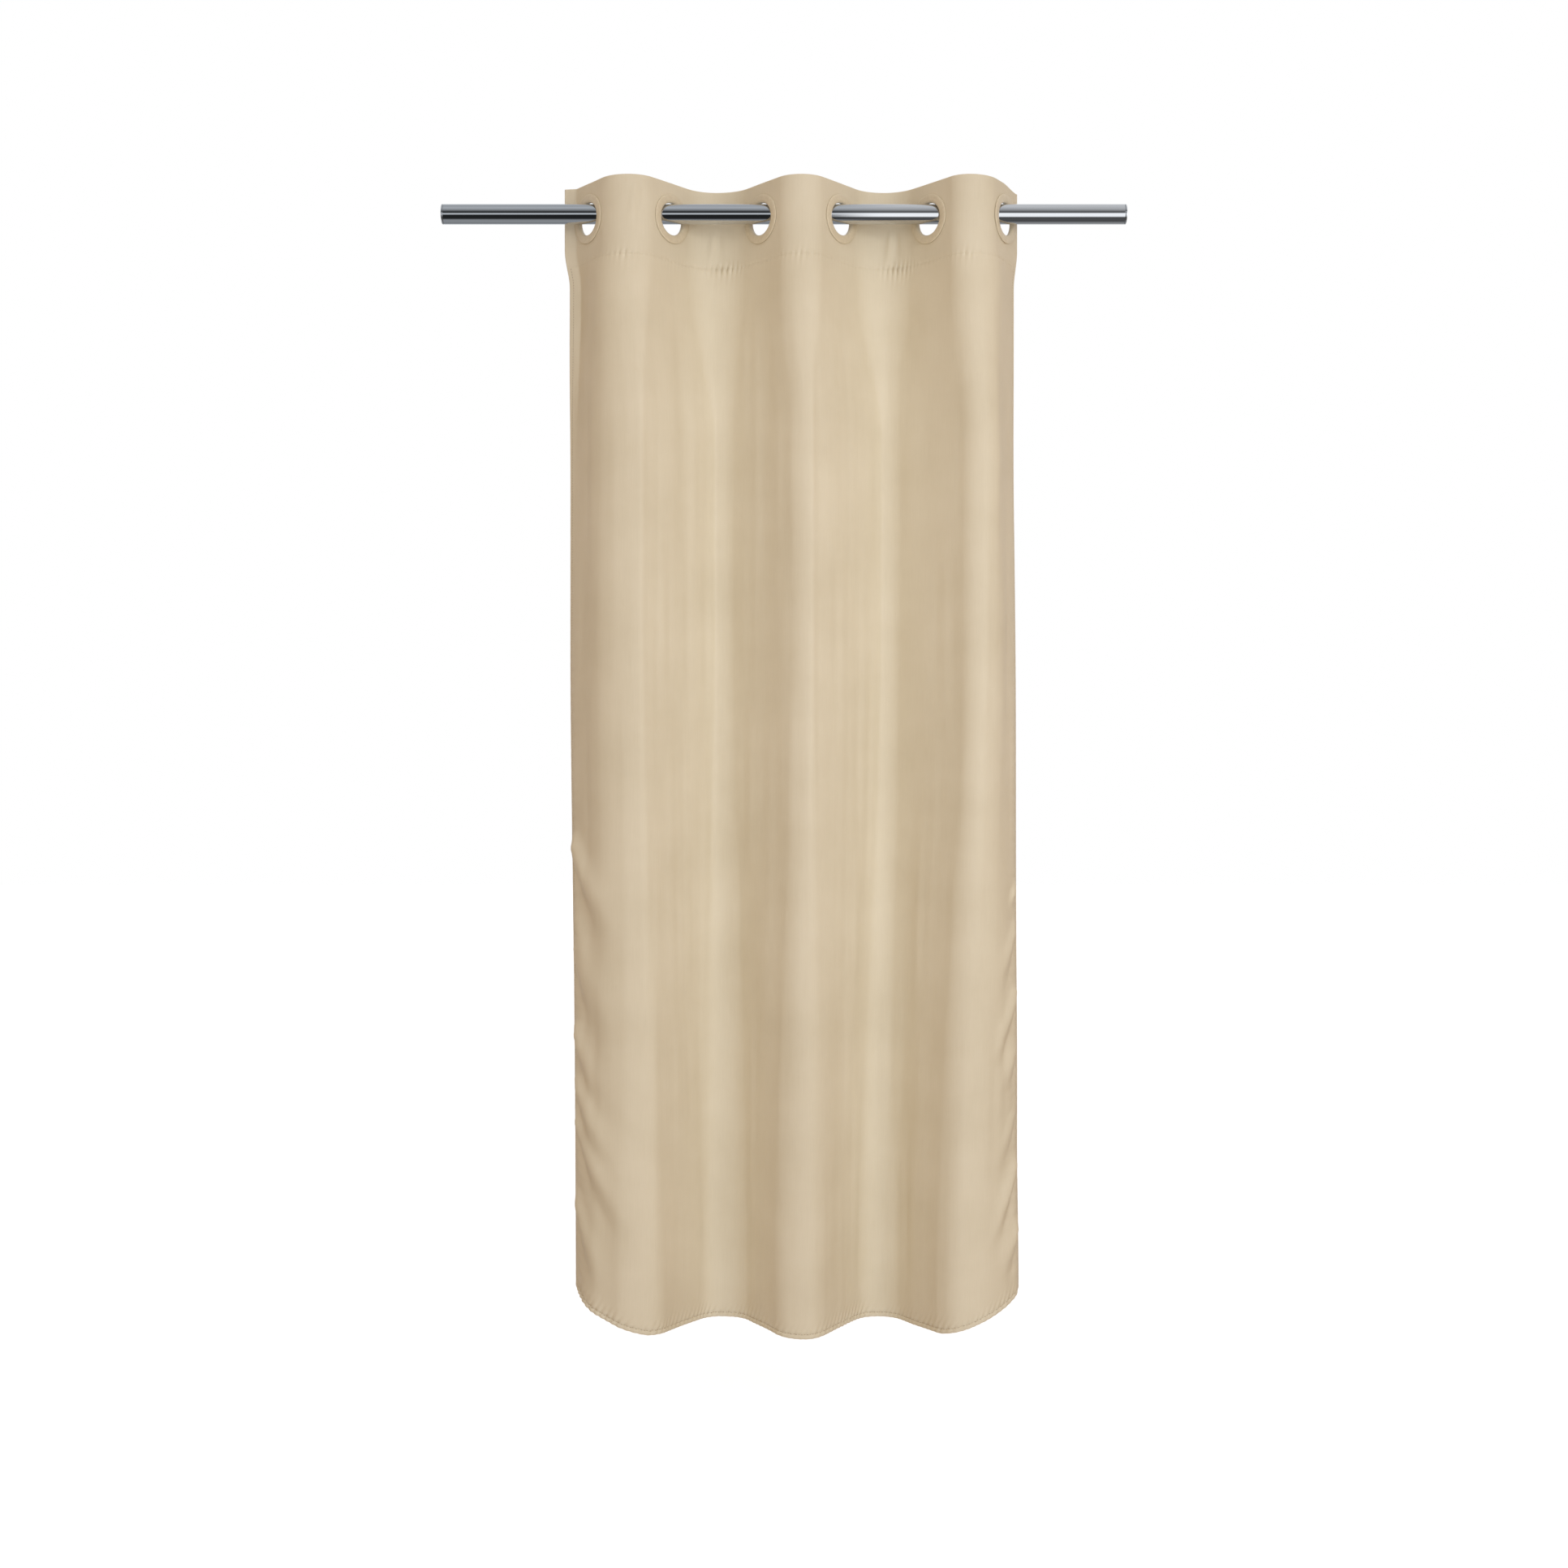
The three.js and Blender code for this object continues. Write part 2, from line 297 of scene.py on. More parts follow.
COLUMN_U = flat_columns()
WIDTH = COLUMN_U[-1]
EYELET_COLUMNS = [MARGIN_COLUMNS + 2 * FOLD_COLUMNS * k for k in range(len(EYELET_X))]
FOLD_MIDDLES = [column + FOLD_COLUMNS for column in EYELET_COLUMNS[:-1]]
PIECE_LIMITS = [0, *EYELET_COLUMNS, len(COLUMN_U) - 1]
GATHER_SHIFTS = [-2 * MM, 8 * MM, 2 * MM, 19 * MM, -1 * MM]
GATHER_WIDTHS = [10 * MM, 21 * MM, 9 * MM, 19 * MM, 9 * MM]
GATHER_STRENGTHS = [0.8, 1.5, 0.8, 1.5, 0.5]


def row_heights():
    """Distances of the rows from the top edge: closer together at the heading seam and hem."""
    heading = np.arange(1.0, 91, 3.0) * MM
    seam = np.arange(92, 110, 1.5) * MM
    body = np.arange(110, 1439, 4.0) * MM
    hem = np.linspace(1440 * MM, DROP - 0.6 * MM, 16)
    return np.concatenate([heading, seam, body, hem])


def down_path():
    """The sheet's rows as (v, offset): up the turned-down heading at the back, over the top
    edge, down the face, round the bottom edge and up the turned hem."""
    face = row_heights()
    back = face[face <= HEADING_DEPTH][::-1]
    over = np.radians(np.linspace(150, 30, 5))
    path = [(v, -LAYER) for v in back]
    path += [(LAYER * (1 - math.sin(a)), LAYER * math.cos(a)) for a in over]
    path += [(v, LAYER) for v in face]
    half = TURN_GAP / 2
    under = np.radians(np.linspace(30, 150, 4))
    path += [(DROP - half * (1 - math.sin(a)), LAYER - half * (1 - math.cos(a))) for a in under]
    hem = face[face >= DROP - HEM][::-1]
    path += [(v, LAYER - TURN_GAP) for v in hem[1:]]
    return np.array(path)


def across_path():
    """The sheet's columns as (column, offset): each side edge is turned back as a hem."""
    last = len(COLUMN_U) - 1
    sides = []
    for margin in EDGE_MARGINS:
        per_hem = int(round(HEM / (margin / MARGIN_COLUMNS)))
        turned = [(float(c), -TURN_GAP) for c in range(per_hem, 0, -1)]
        turned += [(0.3, -TURN_GAP * 0.95), (0.05, -TURN_GAP * 0.5), (0.3, 0.0)]
        sides.append(turned)
    face = [(float(c), 0.0) for c in range(1, last)]
    end = [(last - c, offset) for c, offset in sides[1][::-1]]
    return np.array(sides[0] + face + end), len(sides[0]) - 1


def seam_pucker(u, v):
    """Small gathers along the heading seam, bunched up where the cloth folds."""
    phase = 2 * math.pi * (u + 0.12 * (v - HEADING_DEPTH)) / SEAM_GATHER_PITCH
    phase = phase + 2.2 * noise_along(u, 31 * MM, 3)
    cluster = 0.12 * np.ones_like(u)
    for k, column in enumerate(FOLD_MIDDLES):
        aside = (u - COLUMN_U[column] - GATHER_SHIFTS[k]) / GATHER_WIDTHS[k]
        cluster = cluster + GATHER_STRENGTHS[k] * np.exp(-(aside**2))
    below = np.where(v > HEADING_DEPTH, 7 * MM, 4 * MM)
    fade = np.exp(-np.abs(v - HEADING_DEPTH) / below)
    groove = -0.45 * MM * np.exp(-(((v - HEADING_DEPTH) / (1.8 * MM)) ** 2))
    return groove + 1.7 * MM * cluster * fade * np.sin(phase)


def hem_pucker(u, v):
    """The bottom hem: a stitched line with fine gathers above it and a rolled edge below."""
    line = DROP - HEM_STITCH
    slant = 0.5 * (v - line)
    phase = 2 * math.pi * (u + slant) / HEM_GATHER_PITCH + 2.5 * noise_along(u, 27 * MM, 11)
    fade = np.exp(-np.abs(v - line) / (8 * MM))
    groove = -0.9 * MM * np.exp(-(((v - line) / (1.5 * MM)) ** 2))
    roll = 0.9 * MM * np.exp(-(((v - DROP + 2 * MM) / (1.6 * MM)) ** 2))
    strength = 0.45 + 0.55 * smooth(noise_along(u, 60 * MM, 13), -0.4, 0.6)
    return groove + roll + 1.2 * MM * strength * fade * np.sin(phase)


def side_pucker(u, v):
    """The side hems: stitched lines a little shorter than the cloth, so they gather it."""
    total = 0
    for distance, seed in ((u, 21), (WIDTH - u, 23)):
        wander = noise_along(v, 47 * MM, seed)
        phase = 2 * math.pi * v / SIDE_GATHER_PITCH + 3.0 * wander
        lower = 0.35 + 0.65 * smooth(v, 0.25, 0.8)
        fade = np.exp(-np.abs(distance - HEM_STITCH) / (12 * MM))
        groove = -0.7 * MM * np.exp(-(((distance - HEM_STITCH) / (1.6 * MM)) ** 2))
        total = total + groove + 1.0 * MM * lower * fade * np.sin(phase)
    return total * smooth(v, HEADING_DEPTH, HEADING_DEPTH + 30 * MM)


def crease(u, v, start_u, start_v, angle, length, width, height):
    """A soft crease that starts at a point, runs down at an angle and fades out."""
    c, s = math.cos(math.radians(angle)), math.sin(math.radians(angle))
    along = ((u - start_u) * c + (v - start_v) * s) / length
    across = (v - start_v) * c - (u - start_u) * s
    bow = 0.10 * length * np.clip(along, 0, 1) ** 2
    spread = width * (0.7 + 0.8 * np.clip(along, 0, 1))
    body = np.exp(-(((across - bow) / spread) ** 2))
    return height * body * smooth(along, -0.10, 0.15) * (1 - smooth(along, 0.35, 1.0))


def tension_creases(u, v):
    """Slanting creases that the tight side hems pull into the lower half of the cloth."""
    total = 0
    for k in range(7):
        start = 0.83 + 0.078 * k + 0.022 * math.sin(2.3 * k)
        reach = (145 + 36 * math.sin(1.7 * k)) * MM
        angle = 56 + 6 * math.sin(k)
        height = (6.6 + 2.4 * math.sin(2.9 * k + 1)) * MM
        total = total + crease(u, v, 6 * MM, start, angle, reach, 16 * MM, height)
        total = total - crease(u, v, 6 * MM, start + 0.038, angle, reach, 14 * MM, 0.55 * height)
    total = total + crease(WIDTH - u, v, 4 * MM, 0.89, 52, 42 * MM, 5 * MM, 5.0 * MM)
    for k in range(6):
        start = 0.94 + 0.082 * k + 0.020 * math.sin(3.1 * k)
        reach = (95 + 30 * math.sin(2.1 * k)) * MM
        height = (3.8 + 1.4 * math.sin(1.9 * k)) * MM
        mirrored = WIDTH - u
        total = total + crease(mirrored, v, 6 * MM, start, 58, reach, 10 * MM, height)
        total = total - crease(mirrored, v, 6 * MM, start + 0.026, 60, reach, 9 * MM, 0.7 * height)
    return total


def heading_creases(u, v):
    """Upright creases between the eyelets, where the stiff heading has been folded."""
    total = 0
    for fold, aside, start_v, height in HEADING_CREASES:
        start_u = COLUMN_U[FOLD_MIDDLES[fold]] + aside
        total = total + crease(u, v, start_u, start_v, 92, 62 * MM, 4 * MM, height)
        total = total - crease(u, v, start_u + 9 * MM, start_v, 88, 56 * MM, 5 * MM, 0.7 * height)
    return total


def soft_waves(u, v):
    """The slow unevenness of hanging cloth: long upright ripples, and a few broad dents."""
    below = smooth(v, HEADING_DEPTH, HEADING_DEPTH + 0.15)
    upright = 1.1 * MM * noise(u, v, 24 * MM, 0.33, 31) + 0.45 * MM * noise(u, v, 11 * MM, 0.19, 33)
    dents = 0.9 * MM * noise(u, v, 60 * MM, 90 * MM, 35)
    low = 1.3 * MM * noise(u, v, 38 * MM, 0.12, 37) * smooth(v, 1.0, 1.4)
    heading = 0.35 * MM * noise(u, v, 30 * MM, 50 * MM, 39) * (1 - below)
    return (upright + dents + low) * below + heading


def under_ring(u, v):
    """1 where an eyelet's rings hold the cloth flat, fading to 0 outside them."""
    held = 0
    for column in EYELET_COLUMNS:
        distance = np.hypot(u - COLUMN_U[column], v - EYELET_V)
        held = held + 1 - smooth(distance, RING_RADIUS, RING_HOLD)
    return np.clip(held, 0, 1)


def relief(u, v):
    """How far the cloth stands out of its smooth folds at each place."""
    total = seam_pucker(u, v) + hem_pucker(u, v) + side_pucker(u, v)
    total = total + tension_creases(u, v) + heading_creases(u, v) + soft_waves(u, v)
    edge = smooth(np.minimum(u, WIDTH - u), -2 * MM, 20 * MM)
    return total * edge * (1 - under_ring(u, v))


def base_surface(v_rows):
    """The smooth folded sheet for all columns and the given rows."""
    share = (v_rows - HEADING_DEPTH) / (DROP - HEADING_DEPTH)
    plan = np.array([plan_row(h) for h in share])
    u = np.broadcast_to(COLUMN_U, plan.shape[:2])
    v = np.broadcast_to(v_rows[:, None], u.shape)
    to_edge = np.minimum(u, WIDTH - u)
    low = smooth(v, 0.95, DROP)
    lift = CORNER_LIFT * np.clip(1 - to_edge / CORNER_WIDTH, 0, 1) ** 1.3 * low
    crest_u = (COLUMN_U[EYELET_COLUMNS[2]] + COLUMN_U[EYELET_COLUMNS[3]]) / 2
    lift = lift - MIDDLE_CREST_DROP * np.exp(-(((u - crest_u) / (45 * MM)) ** 2)) * low
    high = 1 - smooth(v, 30 * MM, 95 * MM)
    lift = lift - RIGHT_CORNER_DROP * high * (1 - smooth(WIDTH - u, 0, 40 * MM))
    return np.concatenate([plan, (TOP - v + lift)[:, :, None]], 2), u, v


def face_normals(points):
    """Unit normals of a grid, pointing to the room side."""
    across = np.gradient(points, axis=1)
    down = np.gradient(points, axis=0)
    normal = np.cross(down, across)
    return normal / np.linalg.norm(normal, axis=2, keepdims=True)


class Sheet:
    """The finished face of the cloth on a regular grid, to be sampled at any (column, v)."""

    def __init__(self):
        self.v_rows = np.concatenate([[0.0], row_heights(), [DROP]])
        smooth_points, u, v = base_surface(self.v_rows)
        smooth_normals = face_normals(smooth_points)
        raised = relief(u, v)[:, :, None]
        self.points = smooth_points + smooth_normals * raised
        self.normals = face_normals(self.points)

    def at(self, column, v):
        """Position and unit normal at fractional columns and distances down the cloth."""
        row = np.interp(v, self.v_rows, np.arange(len(self.v_rows)))
        columns = self.points.shape[1]
        j = np.clip(np.floor(column).astype(int), 0, columns - 2)
        i = np.clip(np.floor(row).astype(int), 0, len(self.v_rows) - 2)
        fj, fi = (column - j)[..., None], (row - i)[..., None]

        def mix(grid):
            upper = grid[i, j] * (1 - fj) + grid[i, j + 1] * fj
            lower = grid[i + 1, j] * (1 - fj) + grid[i + 1, j + 1] * fj
            return upper * (1 - fi) + lower * fi

        normal = mix(self.normals)
        normal = normal / np.linalg.norm(normal, axis=-1, keepdims=True)
        return mix(self.points), normal


# ---------------------------------------------------------------- mesh building


def new_object(name, vertices, faces):
    """A smooth-shaded mesh object, linked to the scene."""
    mesh = bpy.data.meshes.new(name)
    mesh.from_pydata([tuple(p) for p in vertices], [], [tuple(f) for f in faces])
    mesh.update()
    mesh.polygons.foreach_set("use_smooth", [True] * len(mesh.polygons))
    obj = bpy.data.objects.new(name, mesh)
    bpy.context.scene.collection.objects.link(obj)
    return obj


def set_uv(obj, coordinates):
    """Gives each corner its vertex's flat coordinates, in metres."""
    layer = obj.data.uv_layers.new(name="flat")
    indices = np.zeros(len(obj.data.loops), int)
    obj.data.loops.foreach_get("vertex_index", indices)
    layer.data.foreach_set("uv", np.asarray(coordinates, float)[indices].ravel())


def cloth_grid(sheet):
    """Points, outward normals and flat coordinates of the whole turned sheet, and which of its
    squares exist: where two hems cross, the side hem is cut away."""
    columns, first_face_column = across_path()
    rows = down_path()
    column, v = np.meshgrid(columns[:, 0], rows[:, 0])
    offset = rows[:, 1][:, None] + columns[:, 1][None, :]
    points, normals = sheet.at(column, v)
    points = points + normals * offset[:, :, None]
    u = np.interp(column, np.arange(len(COLUMN_U)), COLUMN_U)
    turned_rows = (rows[:, 1] < LAYER) | (rows[:, 0] > DROP - HEM)
    turned_columns = columns[:, 1] < -TURN_GAP * 0.97
    doubled = turned_rows[1:, None] & turned_columns[None, 1:] & turned_columns[None, :-1]
    return points, face_normals(points), u, v, ~doubled, first_face_column


def pull_to_hole(points, u, v, keep):
    """Moves the grid's points next to each eyelet hole onto the hole's circle."""
    across = np.gradient(points, axis=1)
    across /= np.linalg.norm(across, axis=2, keepdims=True)
    used = np.zeros(u.shape, bool)
    dropped = np.zeros(u.shape, bool)
    for di in (0, 1):
        for dj in (0, 1):
            view = (slice(di, u.shape[0] - 1 + di), slice(dj, u.shape[1] - 1 + dj))
            used[view] |= keep
            dropped[view] |= ~keep
    rim = used & dropped
    reach = 1.6 * HOLE_CUT
    for column in EYELET_COLUMNS:
        du, dv = u - COLUMN_U[column], v - EYELET_V
        distance = np.hypot(du, dv)
        near = rim & (distance < reach)
        scale = np.where(near, HOLE_CUT / np.maximum(distance, 1e-6) - 1, 0)
        points += across * (du * scale)[:, :, None]
        points[:, :, 2] -= dv * scale
    return points


def cloth_piece(name, grid, columns):
    """A closed, thin solid made of the sheet's grid between two columns."""
    points, normals, u, v, keep = grid
    first, last = columns
    p = points[:, first:last + 1].reshape(-1, 3)
    n = normals[:, first:last + 1].reshape(-1, 3)
    rows, width = points.shape[0], last - first + 1
    i, j = np.nonzero(keep[:, first:last])
    corner = i * width + j
    front = np.stack([corner, corner + width, corner + width + 1, corner + 1], 1)
    edges = np.concatenate([front[:, [a, (a + 1) % 4]] for a in range(4)])
    key = np.sort(edges, 1)
    _, index, count = np.unique(key, axis=0, return_index=True, return_counts=True)
    border = edges[index[count == 1]]
    used = np.unique(front)
    renumber = np.full(rows * width, -1)
    renumber[used] = np.arange(len(used))
    half = n[used] * CLOTH_THICKNESS / 2
    vertices = np.concatenate([p[used] + half, p[used] - half])
    shift = len(used)
    front, border = renumber[front], renumber[border]
    back = front[:, ::-1] + shift
    walls = np.stack([border[:, 1], border[:, 0], border[:, 0] + shift, border[:, 1] + shift], 1)
    obj = new_object(name, vertices, np.concatenate([front, back, walls]))
    flat = np.stack([u[:, first:last + 1].ravel()[used], -v[:, first:last + 1].ravel()[used]], 1)
    set_uv(obj, np.concatenate([flat, flat]))
    obj.data.normals_split_custom_set_from_vertices(np.concatenate([n[used], -n[used]]))
    return obj


def stitches(name, sheet, column, v, across_cloth):
    """Short raised threads at the given places, lying across or down the cloth."""
    point, normal = sheet.at(column, v)
    step = 0.15 if across_cloth else 0.0
    drop = 0.0 if across_cloth else 1.0 * MM
    ahead = sheet.at(np.clip(column + step, 0, len(COLUMN_U) - 1), v + drop)[0]
    behind = sheet.at(np.clip(column - step, 0, len(COLUMN_U) - 1), v - drop)[0]
    run = ahead - behind
    run /= np.linalg.norm(run, axis=1, keepdims=True)
    side = np.cross(normal, run)
    centre = point + normal * STITCH_LIFT
    end = STITCH_LENGTH / 2
    vertices, faces = [], []
    for c, n, r, s in zip(centre, normal, run, side):
        base = len(vertices)
        wide, high = s * STITCH_HALF_WIDTH, n * STITCH_HALF_HEIGHT
        for t in (-STITCH_CROWN, STITCH_CROWN):
            for a, b in ((1, 0), (0, 1), (-1, 0), (0, -1)):
                vertices.append(c + r * STITCH_LENGTH * t + wide * a + high * b)
        vertices += [c - r * end - high, c + r * end - high]
        for a in range(4):
            b = (a + 1) % 4
            faces += [(base + a, base + b, base + 4 + b, base + 4 + a)]
            faces += [(base + b, base + a, base + 8), (base + 4 + a, base + 4 + b, base + 9)]
    return new_object(name, vertices, faces)


def lathe(name, profile, sides, axis_frame, centre):
    """A closed solid of revolution from [radius, height] points that close on themselves. The
    axis frame is two directions across the axis, and the axis itself."""
    across, up, axis = axis_frame
    profile = np.array(profile)
    turn = np.linspace(0, 2 * math.pi, sides, endpoint=False)
    rim = np.cos(turn)[:, None] * across + np.sin(turn)[:, None] * up
    vertices = centre + profile[None, :, :1] * rim[:, None, :] + profile[None, :, 1:] * axis
    count = len(profile)
    faces = []
    for i in range(sides):
        for j in range(count):
            a, b = i * count, (i + 1) % sides * count
            faces.append((a + j, b + j, b + (j + 1) % count, a + (j + 1) % count))
    return new_object(name, vertices.reshape(-1, 3), faces)


def rounded(corners, radius, steps=5):
    """A closed outline with its corners rounded off by quadratic curves."""
    corners = np.array(corners, float)
    outline = []
    for i, corner in enumerate(corners):
        before, after = corners[i - 1] - corner, corners[(i + 1) % len(corners)] - corner
        cut_before = min(radius, 0.48 * np.linalg.norm(before))
        cut_after = min(radius, 0.48 * np.linalg.norm(after))
        start = corner + before / np.linalg.norm(before) * cut_before
        end = corner + after / np.linalg.norm(after) * cut_after
        for t in np.linspace(0, 1, steps):
            outline.append((1 - t) ** 2 * start + 2 * t * (1 - t) * corner + t * t * end)
    return np.array(outline)


# ---------------------------------------------------------------- materials


def material(name):
    """A new material, its nodes and links, and its shader."""
    made = bpy.data.materials.new(name)
    made.use_nodes = True
    nodes, links = made.node_tree.nodes, made.node_tree.links
    return made, nodes, links, nodes["Principled BSDF"]


def node(nodes, kind, **values):
    """A new node with the given settings."""
    made = nodes.new(kind)
    for key, value in values.items():
        setattr(made, key, value)
    return made


def set_inputs(made, **values):
    """Sets a node's inputs by name, with _ for each space, and returns the node."""
    for key, value in values.items():
        made.inputs[key.replace("_", " ")].default_value = value
    return made


def color_ramp(nodes, stops):
    """A colour ramp through the given (position, colour) stops."""
    ramp = nodes.new("ShaderNodeValToRGB")
    elements = ramp.color_ramp.elements
    while len(elements) < len(stops):
        elements.new(0.5)
    for element, (position, color) in zip(elements, stops):
        element.position = position
        element.color = (*color, 1)
    return ramp


def cloth_material():
    """Satin-faced cloth: a fine weave, faint upright slubs and a soft sheen."""
    made, nodes, links, shader = material("satin_cloth")
    set_inputs(shader, Roughness=0.5)
    shader.inputs["Sheen Weight"].default_value = 0.12
    shader.inputs["Sheen Roughness"].default_value = 0.4
    shader.inputs["Sheen Tint"].default_value = (1.0, 0.9, 0.75, 1)
    shader.inputs["Specular IOR Level"].default_value = 0.35
    shader.inputs["Subsurface Weight"].default_value = 0.15
    shader.inputs["Subsurface Radius"].default_value = (1.0, 1.0, 1.0)
    shader.inputs["Subsurface Scale"].default_value = 1 * MM
    uv = node(nodes, "ShaderNodeUVMap", uv_map="flat")
    slub_scale = node(nodes, "ShaderNodeMapping")
    slub_scale.inputs["Scale"].default_value = (1400, 25, 1)
    links.new(uv.outputs["UV"], slub_scale.inputs["Vector"])
    slub = set_inputs(node(nodes, "ShaderNodeTexNoise"), Scale=1.0, Detail=3.0, Roughness=0.6)
    links.new(slub_scale.outputs["Vector"], slub.inputs["Vector"])
    cloud = set_inputs(node(nodes, "ShaderNodeTexNoise"), Scale=9.0, Detail=4.0, Roughness=0.55)
    links.new(uv.outputs["UV"], cloud.inputs["Vector"])
    mixed = node(nodes, "ShaderNodeMath", operation="MULTIPLY_ADD")
    mixed.inputs[1].default_value = 0.45
    links.new(slub.outputs["Fac"], mixed.inputs[0])
    links.new(cloud.outputs["Fac"], mixed.inputs[2])
    ramp = color_ramp(nodes, [(0.45, CLOTH_DARK), (1.0, CLOTH_LIGHT)])
    links.new(mixed.outputs[0], ramp.inputs["Fac"])
    links.new(ramp.outputs["Color"], shader.inputs["Base Color"])
    warp = weave_wave(nodes, links, uv, "X")
    weft = weave_wave(nodes, links, uv, "Y")
    weave = node(nodes, "ShaderNodeMath", operation="MULTIPLY")
    links.new(warp.outputs["Fac"], weave.inputs[0])
    links.new(weft.outputs["Fac"], weave.inputs[1])
    height = node(nodes, "ShaderNodeMath", operation="ADD")
    links.new(weave.outputs[0], height.inputs[0])
    links.new(slub.outputs["Fac"], height.inputs[1])
    bump = set_inputs(node(nodes, "ShaderNodeBump"), Strength=0.35, Distance=0.00012)
    links.new(height.outputs[0], bump.inputs["Height"])
    links.new(bump.outputs["Normal"], shader.inputs["Normal"])
    return made


def weave_wave(nodes, links, uv, direction):
    """One set of threads, 0.45 mm apart."""
    wave = node(nodes, "ShaderNodeTexWave", wave_type="BANDS", bands_direction=direction)
    set_inputs(wave, Scale=700.0, Distortion=0.6, Detail=1.0)
    links.new(uv.outputs["UV"], wave.inputs["Vector"])
    return wave


def thread_material():
    """Twisted sewing thread, a little darker than the cloth."""
    made, nodes, links, shader = material("sewing_thread")
    set_inputs(shader, Roughness=0.6)
    place = node(nodes, "ShaderNodeTexCoord")
    twist = set_inputs(node(nodes, "ShaderNodeTexWave"), Scale=900.0, Distortion=1.0)
    links.new(place.outputs["Object"], twist.inputs["Vector"])
    ramp = color_ramp(nodes, [(0.2, THREAD_DARK), (0.8, THREAD_LIGHT)])
    links.new(twist.outputs["Fac"], ramp.inputs["Fac"])
    links.new(ramp.outputs["Color"], shader.inputs["Base Color"])
    bump = set_inputs(node(nodes, "ShaderNodeBump"), Strength=0.3, Distance=0.0001)
    links.new(twist.outputs["Fac"], bump.inputs["Height"])
    links.new(bump.outputs["Normal"], shader.inputs["Normal"])
    return made


def plastic_material():
    """Moulded plastic in the cloth's colour, with a faint orange-peel surface."""
    made, nodes, links, shader = material("eyelet_plastic")
    set_inputs(shader, Roughness=0.38)
    shader.inputs["Coat Weight"].default_value = 0.15
    shader.inputs["Coat Roughness"].default_value = 0.25
    place = node(nodes, "ShaderNodeTexCoord")
    grain = set_inputs(node(nodes, "ShaderNodeTexNoise"), Scale=260.0, Detail=3.0)
    links.new(place.outputs["Object"], grain.inputs["Vector"])
    ramp = color_ramp(nodes, [(0.3, PLASTIC_DARK), (0.7, PLASTIC_LIGHT)])
    links.new(grain.outputs["Fac"], ramp.inputs["Fac"])
    links.new(ramp.outputs["Color"], shader.inputs["Base Color"])
    bump = set_inputs(node(nodes, "ShaderNodeBump"), Strength=0.12, Distance=0.0002)
    links.new(grain.outputs["Fac"], bump.inputs["Height"])
    links.new(bump.outputs["Normal"], shader.inputs["Normal"])
    return made


def steel_material(name, roughness, along):
    """Polished steel with fine drawn lines that run along the rod."""
    made, nodes, links, shader = material(name)
    set_inputs(shader, Metallic=1.0)
    place = node(nodes, "ShaderNodeTexCoord")
    stretch = node(nodes, "ShaderNodeMapping")
    stretch.inputs["Scale"].default_value = along
    links.new(place.outputs["Object"], stretch.inputs["Vector"])
    lines = set_inputs(node(nodes, "ShaderNodeTexNoise"), Scale=1.0, Detail=5.0, Roughness=0.65)
    links.new(stretch.outputs["Vector"], lines.inputs["Vector"])
    tone = color_ramp(nodes, [(0.3, STEEL_DARK), (0.75, STEEL_LIGHT)])
    links.new(lines.outputs["Fac"], tone.inputs["Fac"])
    links.new(tone.outputs["Color"], shader.inputs["Base Color"])
    rough = node(nodes, "ShaderNodeMapRange")
    set_inputs(rough, To_Min=roughness * 0.8, To_Max=roughness * 1.3)
    links.new(lines.outputs["Fac"], rough.inputs["Value"])
    links.new(rough.outputs["Result"], shader.inputs["Roughness"])
    bump = set_inputs(node(nodes, "ShaderNodeBump"), Strength=0.03, Distance=0.0001)
    links.new(lines.outputs["Fac"], bump.inputs["Height"])
    links.new(bump.outputs["Normal"], shader.inputs["Normal"])
    return made


# ---------------------------------------------------------------- the object


def build_cloth():
    """Cuts the sheet at the eyelets' middle lines, so that each piece crosses one fold."""
    sheet = Sheet()
    points, normals, u, v, keep, first_face_column = cloth_grid(sheet)
    centre_u = (u[:-1, :-1] + u[1:, 1:]) / 2
    centre_v = (v[:-1, :-1] + v[1:, 1:]) / 2
    solid = np.ones_like(keep)
    for column in EYELET_COLUMNS:
        solid &= np.hypot(centre_u - COLUMN_U[column], centre_v - EYELET_V) > HOLE_CUT
    points = pull_to_hole(points, u, v, solid)
    grid = (points, normals, u, v, keep & solid)
    fabric = cloth_material()
    cuts = [first_face_column + column for column in EYELET_COLUMNS]
    limits = [0, *cuts, points.shape[1] - 1]
    spans = [f"fold_span_{k}" for k in range(1, len(EYELET_X))]
    names = ["margin_left", *spans, "margin_right"]
    pieces = []
    for k, name in enumerate(names):
        piece = cloth_piece(f"cloth_{name}", grid, (limits[k], limits[k + 1]))
        piece.data.materials.append(fabric)
        pieces.append(piece)
    threads = build_threads(sheet, fabric, thread_material())
    attach_cloth(pieces, threads)


